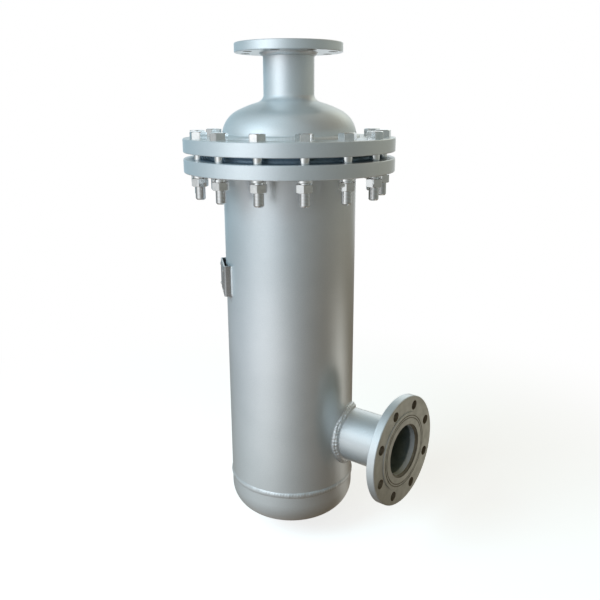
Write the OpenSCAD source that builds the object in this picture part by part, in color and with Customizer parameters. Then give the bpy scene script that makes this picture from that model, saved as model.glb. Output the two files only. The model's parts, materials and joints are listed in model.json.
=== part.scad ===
// Baffle type steam separator: an upright vessel with a bolted cover.
// Wet steam enters low on the side, water drops out on the baffles, dry steam leaves at the top.
// The origin is the centre of the outlet's bolt circle, on the face that its bolt holes open onto.
// +Z is up and the inlet points along +X.

/* [Outlet] */
// Outside diameter of the outlet flange
outlet_flange_d = 215; // [205:1:250]
// Thickness of the outlet flange without its raised face
outlet_flange_t = 18; // [14:1:28]
// Distance of the outlet flange's bolt holes from its rim, to their centres
outlet_bolt_edge = 17.5; // [15:0.5:20]
// Diameter of the outlet flange's bolt holes
outlet_hole_d = 18; // [12:0.5:22]
// Distance of the outlet flange's raised face from its bolt holes
outlet_face_margin = 3.5; // [2:0.5:8]
// Outside diameter of the outlet neck pipe
outlet_pipe_d = 102; // [76:1:110]
// Height of the outlet face above the cover flange
outlet_height = 182; // [160:1:240]
// How far the outlet neck reaches in past the cover head's wall
neck_inside = 8; // [4:1:20]

/* [Inlet] */
// Outside diameter of the inlet flange
inlet_flange_d = 235; // [222:1:260]
// Thickness of the inlet flange without its raised face
inlet_flange_t = 18; // [14:1:28]
// Distance of the inlet flange's bolt holes from its rim, to their centres
inlet_bolt_edge = 20; // [16:0.5:22]
// Diameter of the inlet flange's bolt holes
inlet_hole_d = 20; // [14:0.5:22]
// Distance of the inlet flange's raised face from its bolt holes
inlet_face_margin = 4; // [2:0.5:8]
// Outside diameter of the inlet neck pipe
inlet_pipe_d = 114; // [89:1:120]
// Distance from the vessel's axis to the inlet face
inlet_reach = 273; // [230:1:340]
// Distance of the inlet's axis to one side of the vessel's axis, which makes the steam swirl
inlet_offset = 36; // [0:1:45]
// Height of the inlet's axis above the bottom seam
inlet_above_seam = 108; // [90:1:150]

/* [Nozzle details] */
// Wall of both neck pipes
pipe_wall = 4; // [3:0.5:8]
// Height of the raised faces on the nozzle flanges
nozzle_face_h = 2; // [1:0.5:3]
// How far the neck pipes end behind the nozzle faces
pipe_setback = 6; // [5:0.5:8]
// Bolt holes in each nozzle flange
nozzle_bolts = 8; // [4:4:12]
// Sealing grooves turned in each raised face
face_grooves = 2; // [1:1:3]
// Distance of the outermost sealing groove from the raised face's edge
groove_margin = 6.5; // [4:0.5:8]
// Width of a sealing groove
groove_w = 1.8; // [1:0.1:2]
// Depth of a sealing groove
groove_depth = 0.8; // [0.5:0.1:0.9]
// Spacing of the sealing grooves
groove_pitch = 5; // [4:0.5:7]

/* [Shell and heads] */
// Outside diameter of the shell
shell_d = 273; // [262:1:290]
// Wall of the shell and of both heads
shell_wall = 8; // [6:0.5:12]
// Length of the shell pipe
shell_length = 698; // [640:1:900]
// Outside crown radius of the dished heads
crown_r = 235; // [200:1:270]
// Outside knuckle radius of the dished heads
knuckle_r = 58; // [40:1:64]
// Straight length of the bottom head above its dish
bottom_skirt = 28; // [15:1:50]
// Rise of the cover head's straight part above the cover flange
cover_rise = 1; // [0.5:0.5:10]

/* [Cover joint] */
// Outside diameter of the two cover joint flanges
joint_flange_d = 430; // [424:1:460]
// Thickness of each joint flange without its raised face
joint_flange_t = 27; // [20:1:40]
// Distance of the cover bolts from the rims of the joint flanges, to their axes
joint_bolt_edge = 26; // [20:0.5:28]
// Number of cover bolts
joint_bolts = 14; // [8:1:16]
// Turn of the bolt circle from the inlet's direction in degrees
joint_phase = 8.5; // [0:0.5:25]
// Distance of the raised faces that clamp the gasket from the bolt holes
seal_face_margin = 9; // [4:0.5:14]
// Height of each of those raised faces
seal_face_h = 4; // [2:0.5:8]
// Thickness of the gasket
gasket_t = 4.5; // [2:0.5:6]
// Width of the gasket's ring, inward from the rim of the raised faces
gasket_w = 32; // [20:0.5:32]
// How far the shell and the cover head end behind the raised faces
end_setback = 8; // [6:0.5:12]
// Chamfer on the rims of all flanges
rim_chamfer = 1.2; // [0.5:0.1:2]

/* [Cover bolts] */
// Thread diameter of the cover bolts
bolt_d = 20; // [16:1:20]
// Width across flats of the bolt heads and nuts
bolt_flats = 30; // [27:1:32]
// Height of the bolt heads
bolt_head_h = 14.5; // [9:0.5:16]
// Height of the nuts
nut_h = 16; // [12:0.5:20]
// Height of the spring washers, which aren't pressed flat
washer_h = 8; // [5:0.5:10]
// Outside diameter of the spring washers
washer_d = 29; // [27:0.5:32]
// Width of the slit in the spring washers
washer_slit = 2; // [1:0.5:4]
// Bolt end below the nut
bolt_tail = 26; // [10:1:40]
// Chamfer on the bolt ends
bolt_point = 2.5; // [1:0.5:4]

/* [Drain] */
// Outside diameter of the drain socket
drain_socket_d = 42; // [38:1:46]
// Thread core diameter of the drain socket
drain_bore_d = 30.3; // [24:0.1:32]
// Length of the drain socket below the bottom head
drain_drop = 18; // [12:1:24]
// Length of the drain socket above the inside of the bottom head
drain_rise = 5; // [3:0.5:8]

/* [Nameplate] */
// Width of the nameplate bracket
bracket_w = 90; // [70:1:100]
// Height of the nameplate bracket
bracket_h = 64; // [50:1:90]
// Stand-off of the bracket's outer face from the shell at its middle
bracket_standoff = 8.5; // [7:0.5:14]
// Sheet thickness of the bracket
bracket_sheet = 2.5; // [1.5:0.5:3]
// Inside bend radius of the bracket
bracket_bend = 2; // [1:0.5:3]
// Distance of the bracket below the body flange
bracket_drop = 187; // [100:1:300]
// Direction of the bracket around the vessel from the inlet in degrees
bracket_angle = 228; // [180:1:300]
// Margin of the blank plate inside the bracket's face
plate_margin = 6; // [5:0.5:10]
// Thickness of the blank plate
plate_t = 0.8; // [0.5:0.1:1.5]
// Rivet shank diameter
rivet_d = 3; // [2:0.2:4]
// Diameter of the rivet heads
rivet_head_d = 5.4; // [4.6:0.2:7]
// Height of the rivet heads
rivet_head_h = 1.8; // [1:0.1:2.5]
// Distance of the rivets from the plate's edges
rivet_inset = 5; // [4:0.5:8]

/* [Baffle stack] */
// Thickness of the support ledge, the carrier and the inlet deflector
plate_heavy = 8; // [5:0.5:12]
// Inside diameter of the support ledge
ledge_bore = 224; // [216:1:230]
// Inside diameter of the carrier ring
carrier_bore = 150; // [120:1:160]
// Distance from the shell's top end down to the support ledge
ledge_drop = 40; // [30:1:80]
// Thickness of the baffle plates
baffle_t = 5; // [3:0.5:8]
// Distance from each baffle plate to the next
baffle_pitch = 75; // [50:1:80]
// Distance of each baffle's cut edge from the vessel's axis
baffle_cut = 62; // [58:1:90]
// Diameter of the tie rods
rod_d = 12; // [8:1:14]
// Distance between the tie rods across the cut edges
rod_span_x = 88; // [70:1:90]
// Distance between the tie rods along the cut edges
rod_span_y = 170; // [165:1:176]
// Outside diameter of the spacer tubes
spacer_d = 19; // [17:0.5:21]
// Width across flats of the tie rod nuts
rod_nut_flats = 19; // [17:0.5:21]
// Height of the tie rod nuts
rod_nut_h = 10; // [6:0.5:14]
// Height of the inlet deflector above and below the inlet's axis
deflector_half_h = 80; // [60:1:90]
// Distance of the inlet deflector from the vessel's axis
deflector_x = 20; // [0:1:40]
// Length of the vortex breaker's plates
breaker_l = 84; // [60:1:100]
// Height of the vortex breaker's plates
breaker_h = 30; // [20:1:50]
// Thickness of the vortex breaker's plates
breaker_t = 5; // [3:0.5:8]

/* [Welds and clearances] */
// Leg of the fillet welds on the flanges
flange_leg = 7; // [4:0.5:9]
// Leg of the fillet weld between the outlet neck and the cover head
neck_leg = 11; // [8:0.5:14]
// Leg of the fillet weld between the inlet neck and the shell
inlet_leg = 8; // [5:0.5:10]
// Width of the bottom seam's bead
seam_w = 11; // [8:0.5:16]
// Height of the bottom seam's bead above the shell
seam_h = 3; // [2:0.5:4]
// Leg of the small welds on the bracket and the drain socket
small_leg = 3; // [2.5:0.5:6]
// Gap between a pipe and the bore that it is welded into
slip_gap = 0.5; // [0.3:0.1:0.8]
// Gap all round a bolt or rod in its hole
hole_gap = 1; // [0.5:0.1:1.5]
// Gap between a thread and its nut
thread_gap = 0.15; // [0.1:0.05:0.3]
// Gap between the baffle plates and the shell
baffle_gap = 0.8; // [0.5:0.1:0.9]
// Gap left for the weld around plates fixed inside the vessel
fix_gap = 0.3; // [0.2:0.1:0.6]

/* [Hidden] */
$fn = 96;
fine = 720; // segments of a large circle that a thin weld lies against

shell_r = shell_d / 2;
bore_r = shell_r - shell_wall;
slip_r = shell_r + slip_gap;
outlet_r = outlet_pipe_d / 2;
inlet_r = inlet_pipe_d / 2;
cut_over = 1; // how far a cutting shape runs past the face that it cuts
face_clear = 1; // how far the inner welds of the cover joint stay behind the raised faces

// Bolt circles and raised faces of the flanges, from their rims inwards
outlet_bolt_circle = outlet_flange_d - 2 * outlet_bolt_edge;
outlet_face_d = outlet_bolt_circle - outlet_hole_d - 2 * outlet_face_margin;
inlet_bolt_circle = inlet_flange_d - 2 * inlet_bolt_edge;
inlet_face_d = inlet_bolt_circle - inlet_hole_d - 2 * inlet_face_margin;
joint_bolt_circle = joint_flange_d - 2 * joint_bolt_edge;
joint_hole_d = bolt_d + 2 * hole_gap;
seal_face_d = joint_bolt_circle - joint_hole_d - 2 * seal_face_margin;

// Levels of the outlet and the cover joint, from the top down
outlet_face_z = nozzle_face_h;
cover_top_z = outlet_face_z - outlet_height;
cover_under_z = cover_top_z - joint_flange_t;
cover_face_z = cover_under_z - seal_face_h;
body_face_z = cover_face_z - gasket_t;
body_top_z = body_face_z - seal_face_h;
body_under_z = body_top_z - joint_flange_t;

// Levels of the shell and the heads
shell_top_z = body_face_z - end_setback;
seam_z = shell_top_z - shell_length;
dish_centre_y = -sqrt(pow(crown_r - knuckle_r, 2) - pow(shell_r - knuckle_r, 2));
cover_tangent_z = cover_top_z + cover_rise;
cover_skirt = cover_tangent_z - (cover_face_z + end_setback);
bottom_tangent_z = seam_z - bottom_skirt;
bottom_z = bottom_tangent_z - dish_rise(0);
bottom_inside_z = bottom_z + shell_wall;
neck_end_z = cover_tangent_z + dish_rise(outlet_r) - shell_wall - neck_inside;
inlet_z = seam_z + inlet_above_seam;

// Levels of the baffle stack
baffles = 5;
ledge_z = shell_top_z - ledge_drop;
carrier_z = ledge_z + plate_heavy;
last_baffle_z = ledge_z - baffles * baffle_pitch;
thread_over = 6; // thread of a tie rod beyond its nut
rod_hole_d = rod_d + 2 * hole_gap;
rod_places = [for (x = [-1, 1], y = [-1, 1]) [x * rod_span_x / 2, y * rod_span_y / 2]];

joint_places = [for (i = [0 : joint_bolts - 1]) joint_phase + i * 360 / joint_bolts];
bracket_top_z = body_under_z - bracket_drop;
bracket_face_r = shell_r + bracket_standoff;
plate_w = bracket_w - 2 * plate_margin;
plate_h = bracket_h - 2 * plate_margin;
nut_line = -57; // direction that a corner of each nut points in, in degrees from the inlet's direction
head_line = -87; // the same of the bolt heads, on average
head_sway = 27; // how far the heads sway to both sides of it from bolt to bolt
sway_step = 129; // turn of that sway from one bolt to the next
slit_turn = 37; // turn from one spring washer's slit to the next

// Height of a head's outside above its tangent line at distance r from the axis, on the crown
function dish_rise(r) = dish_centre_y + sqrt(crown_r * crown_r - r * r);

// Half section of a dish: a crown arc that runs into a knuckle arc, standing on y = 0
module dish_section(r, crown, knuckle) {
    centre_y = -sqrt(pow(crown - knuckle, 2) - pow(r - knuckle, 2));
    meet_x = crown * (r - knuckle) / (crown - knuckle);
    intersection() {
        translate([0, centre_y]) circle(crown, $fn = fine);
        square([meet_x, crown]);
    }
    intersection() {
        translate([r - knuckle, 0]) circle(knuckle, $fn = fine);
        square([r, knuckle]);
    }
}

// Half section of the solid that a head's outside encloses, or with inset its inside
module head_section(skirt, inset = 0) {
    dish_section(shell_r - inset, crown_r - inset, knuckle_r - inset);
    translate([0, -skirt]) square([shell_r - inset, skirt]);
}

module head_wall(skirt) {
    rotate_extrude() difference() {
        head_section(skirt);
        head_section(skirt + cut_over, shell_wall);
    }
}

// Ring of triangular section: r outwards by out, z along by along
module fillet_ring(r, z, out, along) {
    rotate_extrude() polygon([[r, z], [r + out, z], [r, z + along]]);
}

// Ring plate on z = 0 going down, with chamfered rims and a raised face on top
module flange_blank(d, t, bore, face_d, face_h) {
    c = rim_chamfer;
    rotate_extrude() polygon([
        [bore / 2, 0], [face_d / 2, 0], [face_d / 2, -face_h], [d / 2 - c, -face_h],
        [d / 2, -face_h - c], [d / 2, -face_h - t + c], [d / 2 - c, -face_h - t], [bore / 2, -face_h - t]
    ]);
}

module bolt_holes(circle_d, hole_d, angles, depth) {
    for (a = angles)
        rotate(a) translate([circle_d / 2, 0, -depth - cut_over])
            cylinder(d = hole_d, h = depth + 2 * cut_over);
}

// Slip-on nozzle flange with its face on z = 0, pointing up
module nozzle_flange(d, t, bolt_circle, hole_d, face_d, pipe_d) {
    bore_d = pipe_d + 2 * slip_gap;
    first_groove_r = face_d / 2 - groove_margin - groove_w;
    difference() {
        flange_blank(d, t, bore_d, face_d, nozzle_face_h);
        bolt_holes(bolt_circle, hole_d, [for (i = [0 : nozzle_bolts - 1]) (i + 0.5) * 360 / nozzle_bolts],
            t + nozzle_face_h);
        rotate_extrude() for (i = [0 : face_grooves - 1])
            translate([first_groove_r - i * groove_pitch, -groove_depth])
                square([groove_w, groove_depth + cut_over]);
    }
}

// Weld on the end of a neck pipe inside its flange's bore, for a face on z = 0
module nozzle_face_weld(pipe_d) {
    r = pipe_d / 2 + slip_gap;
    leg = pipe_wall;
    rotate_extrude()
        polygon([[r, -pipe_setback], [r, -pipe_setback + leg], [r - leg, -pipe_setback]]);
}

// Hexagon along Z with a corner at turn and its top corners turned off
module hex_block(flats, h, turn) {
    corner_r = flats / sqrt(3);
    lead = corner_r - flats / 2;
    intersection() {
        rotate(turn) cylinder(r = corner_r, h = h, $fn = 6);
        cylinder(r1 = corner_r + h - lead / 2, r2 = corner_r - lead / 2, h = h);
    }
}

// Hexagon nut along Z with the corners of both its ends turned off and a plain bore
module hex_nut(flats, h, turn, bore_d) {
    difference() {
        intersection() {
            hex_block(flats, h, turn);
            translate([0, 0, h]) mirror([0, 0, 1]) hex_block(flats, h, turn);
        }
        translate([0, 0, -cut_over]) cylinder(d = bore_d, h = h + 2 * cut_over);
    }
}

// Turns what points up on z = 0 to the inlet's face
module at_inlet() {
    translate([inlet_reach, inlet_offset, inlet_z]) rotate([0, 90, 0]) children();
}

// Round bar of radius r on the inlet's axis, from the vessel's middle plane out to x
module inlet_sweep(r, x) {
    translate([0, inlet_offset, inlet_z]) rotate([0, 90, 0]) cylinder(r = r, h = x);
}

// Round bar of radius r on the vessel's axis, as long as the shell and the bottom skirt
module vessel_rod(r) {
    translate([0, 0, seam_z - bottom_skirt]) cylinder(r = r, h = shell_length + bottom_skirt);
}

// Turns x to the bracket's direction, with z = 0 at its lower edge
module at_bracket() {
    rotate(bracket_angle) translate([0, 0, bracket_top_z - bracket_h]) children();
}

// Repeats a piece at each rivet, pointing out of the bracket's face
module at_rivets() {
    y = plate_w / 2 - rivet_inset;
    z = plate_h / 2 - rivet_inset;
    for (side = [-1, 1], level = [-1, 1])
        at_bracket() translate([bracket_face_r, side * y, bracket_h / 2 + level * z])
            rotate([0, 90, 0]) children();
}

module outlet_flange() {
    color("#A9AFB2") translate([0, 0, outlet_face_z])
        nozzle_flange(outlet_flange_d, outlet_flange_t, outlet_bolt_circle, outlet_hole_d, outlet_face_d,
            outlet_pipe_d);
}

module outlet_face_weld() {
    color("#B8BCBD") translate([0, 0, outlet_face_z]) nozzle_face_weld(outlet_pipe_d);
}

module outlet_flange_weld() {
    color("#A2A8AA") fillet_ring(outlet_r, -outlet_flange_t, flange_leg, -flange_leg);
}

module outlet_neck() {
    length = outlet_face_z - pipe_setback - neck_end_z;
    color("#AEB4B6") translate([0, 0, neck_end_z]) difference() {
        cylinder(r = outlet_r, h = length);
        translate([0, 0, -cut_over]) cylinder(r = outlet_r - pipe_wall, h = length + 2 * cut_over);
    }
}

module cover_neck_weld() {
    toe_r = outlet_r + neck_leg;
    color("#A8AEB0") translate([0, 0, cover_tangent_z]) rotate_extrude() difference() {
        polygon([
            [outlet_r, dish_rise(toe_r)], [toe_r, dish_rise(toe_r)],
            [outlet_r, dish_rise(outlet_r) + neck_leg]
        ]);
        head_section(cover_skirt);
    }
}

module cover_head() {
    color("#AEB4B6") difference() {
        translate([0, 0, cover_tangent_z]) head_wall(cover_skirt);
        translate([0, 0, neck_end_z]) cylinder(r = outlet_r + slip_gap, h = -neck_end_z);
    }
}

module cover_flange_weld() {
    under = knuckle_r / 2; // how far the ring starts in under the head's knuckle
    color("#A2A8AA") difference() {
        fillet_ring(shell_r - under, cover_top_z, under + flange_leg, under + flange_leg);
        translate([0, 0, cover_tangent_z]) rotate_extrude() head_section(cover_skirt);
    }
}

module cover_flange() {
    color("#A9AFB2") translate([0, 0, cover_face_z]) mirror([0, 0, 1]) difference() {
        flange_blank(joint_flange_d, joint_flange_t, 2 * slip_r, seal_face_d, seal_face_h);
        bolt_holes(joint_bolt_circle, joint_hole_d, joint_places, joint_flange_t + seal_face_h);
    }
}

// Weld on the end of the shell or the cover head inside its flange's bore
module end_weld(z, along) {
    rotate_extrude() polygon([[slip_r, z], [slip_r - shell_wall, z], [slip_r, z + along]]);
}

module cover_inner_weld() {
    color("#A2A8AA") end_weld(cover_face_z + end_setback, face_clear - end_setback);
}

module flange_gasket() {
    color("#2E3A42") translate([0, 0, body_face_z]) difference() {
        cylinder(d = seal_face_d, h = gasket_t);
        translate([0, 0, -cut_over]) cylinder(d = seal_face_d - 2 * gasket_w, h = gasket_t + 2 * cut_over);
    }
}

module body_flange() {
    color("#A9AFB2") translate([0, 0, body_face_z]) difference() {
        flange_blank(joint_flange_d, joint_flange_t, 2 * slip_r, seal_face_d, seal_face_h);
        bolt_holes(joint_bolt_circle, joint_hole_d, joint_places, joint_flange_t + seal_face_h);
    }
}

module body_inner_weld() {
    color("#A2A8AA") end_weld(shell_top_z, end_setback - face_clear);
}

module body_flange_weld() {
    color("#A2A8AA") fillet_ring(shell_r, body_under_z, flange_leg, -flange_leg);
}

module shell() {
    color("#AEB4B6") difference() {
        translate([0, 0, seam_z]) cylinder(r = shell_r, h = shell_length);
        translate([0, 0, seam_z - cut_over]) cylinder(r = bore_r, h = shell_length + 2 * cut_over);
        inlet_sweep(inlet_r + slip_gap, inlet_reach);
    }
}

module bottom_seam_weld() {
    bead_r = (seam_w * seam_w / 4 + seam_h * seam_h) / (2 * seam_h);
    color("#A2A8AA") translate([0, 0, seam_z]) rotate_extrude() difference() {
        translate([shell_r + seam_h - bead_r, 0]) circle(bead_r);
        translate([0, -2 * bead_r]) square([shell_r, 4 * bead_r]);
    }
}

module bottom_head() {
    color("#AEB4B6") difference() {
        translate([0, 0, bottom_tangent_z]) mirror([0, 0, 1]) head_wall(bottom_skirt);
        translate([0, 0, bottom_z - cut_over])
            cylinder(d = drain_socket_d + 2 * slip_gap, h = 2 * shell_wall);
    }
}

module drain_socket() {
    color("#9FA5A7") translate([0, 0, bottom_z - drain_drop]) difference() {
        cylinder(d = drain_socket_d, h = drain_drop + shell_wall + drain_rise);
        translate([0, 0, -cut_over])
            cylinder(d = drain_bore_d, h = drain_drop + shell_wall + drain_rise + 2 * cut_over);
    }
}

module drain_weld() {
    r = drain_socket_d / 2;
    toe_y = dish_rise(r + small_leg);
    color("#A2A8AA") translate([0, 0, bottom_tangent_z]) mirror([0, 0, 1]) rotate_extrude() difference() {
        polygon([[r, toe_y], [r + small_leg, toe_y], [r, dish_rise(r) + small_leg]]);
        head_section(bottom_skirt);
    }
}

module inlet_neck() {
    color("#AEB4B6") difference() {
        inlet_sweep(inlet_r, inlet_reach - pipe_setback);
        inlet_sweep(inlet_r - pipe_wall, inlet_reach);
        vessel_rod(bore_r);
    }
}

module inlet_neck_weld() {
    color("#A8AEB0") difference() {
        intersection() {
            inlet_sweep(inlet_r + inlet_leg, inlet_reach);
            vessel_rod(shell_r + inlet_leg);
        }
        vessel_rod(shell_r);
        inlet_sweep(inlet_r, inlet_reach);
    }
}

module inlet_flange() {
    color("#9C9A8E")
        at_inlet()
            nozzle_flange(inlet_flange_d, inlet_flange_t, inlet_bolt_circle, inlet_hole_d, inlet_face_d,
                inlet_pipe_d);
}

module inlet_flange_weld() {
    z = -inlet_flange_t - nozzle_face_h;
    color("#A2A8AA") at_inlet() fillet_ring(inlet_r, z, flange_leg, -flange_leg);
}

module inlet_face_weld() {
    color("#B8BCBD") at_inlet() nozzle_face_weld(inlet_pipe_d);
}

// Outline of the bracket seen from above: a sheet folded to a U that is open to the shell
module bracket_section() {
    bend = bracket_bend + bracket_sheet;
    half = bracket_w / 2;
    difference() {
        union() {
            translate([0, -half]) square([bracket_face_r - bend, bracket_w]);
            translate([0, -half + bend]) square([bracket_face_r, bracket_w - 2 * bend]);
            for (side = [-1, 1]) translate([bracket_face_r - bend, side * (half - bend)]) circle(bend);
        }
        translate([-bracket_sheet, -half + bracket_sheet])
            square([bracket_face_r - bracket_bend, bracket_w - 2 * bracket_sheet]);
        translate([0, -half + bend]) square([bracket_face_r - bracket_sheet, bracket_w - 2 * bend]);
        for (side = [-1, 1]) translate([bracket_face_r - bend, side * (half - bend)]) circle(bracket_bend);
        circle(shell_r);
    }
}

module nameplate_bracket() {
    color("#9BA1A4") difference() {
        at_bracket() linear_extrude(bracket_h) bracket_section();
        at_rivets() translate([0, 0, -bracket_sheet - cut_over])
            cylinder(d = rivet_d + 2 * thread_gap, h = bracket_sheet + 2 * cut_over);
    }
}

module bracket_welds() {
    half = bracket_w / 2;
    root_x = sqrt(shell_r * shell_r - half * half);
    toe_x = sqrt(shell_r * shell_r - pow(half + small_leg, 2));
    color("#A2A8AA") at_bracket() linear_extrude(bracket_h) for (side = [-1, 1]) difference() {
        polygon([
            [toe_x, side * half], [root_x + small_leg, side * half], [toe_x, side * (half + small_leg)]
        ]);
        circle(shell_r, $fn = fine);
    }
}

module nameplate() {
    color("#C4C8CA") difference() {
        at_bracket() translate([bracket_face_r, -plate_w / 2, plate_margin])
            cube([plate_t, plate_w, plate_h]);
        at_rivets() translate([0, 0, -cut_over])
            cylinder(d = rivet_d + 2 * thread_gap, h = plate_t + 2 * cut_over);
    }
}

module nameplate_rivets() {
    color("#6E7478") at_rivets() {
        translate([0, 0, -bracket_sheet]) cylinder(d = rivet_d, h = bracket_sheet + plate_t);
        translate([0, 0, plate_t]) cylinder(d1 = rivet_head_d, d2 = rivet_d, h = rivet_head_h);
    }
}

module cover_bolts() {
    shank_end_z = body_under_z - washer_h - nut_h - bolt_tail;
    color("#C9CCCE") for (i = [0 : joint_bolts - 1])
        rotate(joint_places[i]) translate([joint_bolt_circle / 2, 0, 0]) {
            head_turn = head_line - head_sway * cos(i * sway_step) - joint_places[i];
            translate([0, 0, cover_top_z]) hex_block(bolt_flats, bolt_head_h, head_turn);
            translate([0, 0, shank_end_z + bolt_point])
                cylinder(d = bolt_d, h = cover_top_z - shank_end_z - bolt_point);
            translate([0, 0, shank_end_z])
                cylinder(d1 = bolt_d - 2 * bolt_point, d2 = bolt_d, h = bolt_point);
        }
}

module spring_washers() {
    color("#B4B7B9") for (i = [0 : joint_bolts - 1])
        rotate(joint_places[i]) translate([joint_bolt_circle / 2, 0, body_under_z - washer_h])
            difference() {
                cylinder(d = washer_d, h = washer_h);
                translate([0, 0, -cut_over])
                    cylinder(d = bolt_d + 2 * thread_gap, h = washer_h + 2 * cut_over);
                rotate(i * slit_turn) translate([0, -washer_slit / 2, -cut_over])
                    cube([washer_d, washer_slit, washer_h + 2 * cut_over]);
            }
}

module cover_nuts() {
    color("#C9CCCE") for (i = [0 : joint_bolts - 1])
        rotate(joint_places[i]) translate([joint_bolt_circle / 2, 0, body_under_z - washer_h - nut_h])
            hex_nut(bolt_flats, nut_h, nut_line - joint_places[i], bolt_d + 2 * thread_gap);
}

module support_ledge() {
    color("#8E9496") translate([0, 0, ledge_z - plate_heavy]) difference() {
        cylinder(r = bore_r - fix_gap, h = plate_heavy);
        translate([0, 0, -cut_over]) cylinder(d = ledge_bore, h = plate_heavy + 2 * cut_over);
    }
}

module rod_holes(z, h) {
    for (p = rod_places) translate([p.x, p.y, z - cut_over]) cylinder(d = rod_hole_d, h = h + 2 * cut_over);
}

module baffle_carrier() {
    color("#9AA0A2") difference() {
        translate([0, 0, ledge_z]) cylinder(r = bore_r - baffle_gap, h = plate_heavy);
        translate([0, 0, ledge_z - cut_over]) cylinder(d = carrier_bore, h = plate_heavy + 2 * cut_over);
        rod_holes(ledge_z, plate_heavy);
    }
}

// Baffle plate number k from the top, cut away on alternate sides
module baffle(k) {
    z = ledge_z - k * baffle_pitch;
    side = k % 2 == 0 ? 0 : 180;
    color("#9AA0A2") difference() {
        translate([0, 0, z]) cylinder(r = bore_r - baffle_gap, h = baffle_t);
        rotate(side) translate([baffle_cut, -shell_r, z - cut_over])
            cube([shell_r, shell_d, baffle_t + 2 * cut_over]);
        rod_holes(z, baffle_t);
    }
}

module tie_rods() {
    low_z = last_baffle_z - rod_nut_h - thread_over;
    high_z = carrier_z + rod_nut_h + thread_over;
    color("#B4B7B9") for (p = rod_places)
        translate([p.x, p.y, low_z]) cylinder(d = rod_d, h = high_z - low_z);
}

module spacer_tubes() {
    color("#8E9496") for (k = [1 : baffles], p = rod_places) {
        low_z = ledge_z - k * baffle_pitch + baffle_t;
        high_z = ledge_z - (k - 1) * baffle_pitch;
        translate([p.x, p.y, low_z]) difference() {
            cylinder(d = spacer_d, h = high_z - low_z);
            translate([0, 0, -cut_over]) cylinder(d = rod_hole_d, h = high_z - low_z + 2 * cut_over);
        }
    }
}

module tie_rod_nuts() {
    color("#B4B7B9") for (p = rod_places, z = [carrier_z, last_baffle_z - rod_nut_h])
        translate([p.x, p.y, z]) hex_nut(rod_nut_flats, rod_nut_h, nut_line, rod_d + 2 * thread_gap);
}

module inlet_deflector() {
    color("#9AA0A2") intersection() {
        translate([deflector_x, -shell_r, inlet_z - deflector_half_h])
            cube([plate_heavy, shell_d, 2 * deflector_half_h]);
        vessel_rod(bore_r - fix_gap);
    }
}

module vortex_breaker() {
    low_z = bottom_inside_z + drain_rise;
    color("#9AA0A2") intersection() {
        for (turn = [0, 90]) rotate(turn)
            translate([-breaker_l / 2, -breaker_t / 2, low_z]) cube([breaker_l, breaker_t, breaker_h]);
        translate([0, 0, bottom_tangent_z]) mirror([0, 0, 1])
            rotate_extrude() head_section(bottom_skirt, shell_wall + fix_gap);
    }
}

outlet_flange();
outlet_face_weld();
outlet_flange_weld();
outlet_neck();
cover_neck_weld();
cover_head();
cover_flange_weld();
cover_flange();
cover_inner_weld();
flange_gasket();
body_flange();
body_inner_weld();
body_flange_weld();
shell();
bottom_seam_weld();
bottom_head();
drain_socket();
drain_weld();
inlet_neck();
inlet_neck_weld();
inlet_flange();
inlet_flange_weld();
inlet_face_weld();
nameplate_bracket();
bracket_welds();
nameplate();
nameplate_rivets();
cover_bolts();
spring_washers();
cover_nuts();
support_ledge();
baffle_carrier();
baffle(1);  // baffle_1
baffle(2);  // baffle_2
baffle(3);  // baffle_3
baffle(4);  // baffle_4
baffle(5);  // baffle_5
tie_rods();
spacer_tubes();
tie_rod_nuts();
inlet_deflector();
vortex_breaker();
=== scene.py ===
import json
import math

import bmesh
import bpy
import numpy as np
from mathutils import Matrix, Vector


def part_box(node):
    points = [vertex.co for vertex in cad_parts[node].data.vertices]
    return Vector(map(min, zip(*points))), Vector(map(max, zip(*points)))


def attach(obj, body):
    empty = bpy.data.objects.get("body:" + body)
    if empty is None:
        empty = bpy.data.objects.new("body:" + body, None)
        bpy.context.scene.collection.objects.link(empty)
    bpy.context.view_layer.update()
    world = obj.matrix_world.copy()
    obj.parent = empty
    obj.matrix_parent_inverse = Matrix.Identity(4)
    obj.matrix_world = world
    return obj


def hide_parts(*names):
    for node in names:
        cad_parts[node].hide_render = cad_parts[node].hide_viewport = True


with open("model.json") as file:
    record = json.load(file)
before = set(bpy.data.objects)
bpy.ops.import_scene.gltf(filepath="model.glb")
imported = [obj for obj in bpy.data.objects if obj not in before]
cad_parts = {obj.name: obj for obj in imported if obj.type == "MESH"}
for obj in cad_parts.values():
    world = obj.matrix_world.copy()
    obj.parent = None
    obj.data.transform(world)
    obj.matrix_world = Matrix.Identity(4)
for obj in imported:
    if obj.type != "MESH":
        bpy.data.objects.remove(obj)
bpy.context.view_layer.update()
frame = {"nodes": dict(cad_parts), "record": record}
nodes = frame["nodes"]
print("frame loaded:", len(nodes), "solids")

scene = bpy.context.scene
scene.view_settings.view_transform = "Standard"
tau = 2 * math.pi


def linearColour(hexText):
    # sRGB hex to linear light: divide by 12.92 near black, else the 2.4 power curve
    parts = [int(hexText[i:i + 2], 16) / 255 for i in (1, 3, 5)]
    return tuple(c / 12.92 if c <= 0.04045 else ((c + 0.055) / 1.055) ** 2.4 for c in parts) + (1.0,)


def addNode(tree, kind, inputs=(), **settings):
    # one node: settings are its attributes; inputs are values, sockets, or nodes that give their first output
    node = tree.nodes.new("ShaderNode" + kind)
    for name, value in settings.items():
        setattr(node, name, value)
    for key, value in inputs.items() if isinstance(inputs, dict) else enumerate(inputs):
        source = value.outputs[0] if isinstance(value, bpy.types.Node) else value
        if isinstance(source, bpy.types.NodeSocket):
            tree.links.new(source, node.inputs[key])
        else:
            node.inputs[key].default_value = source
    return node


def startMaterial(name):
    material = bpy.data.materials.new(name)
    material.use_nodes = True
    material.node_tree.nodes.clear()
    return material, material.node_tree


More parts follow.
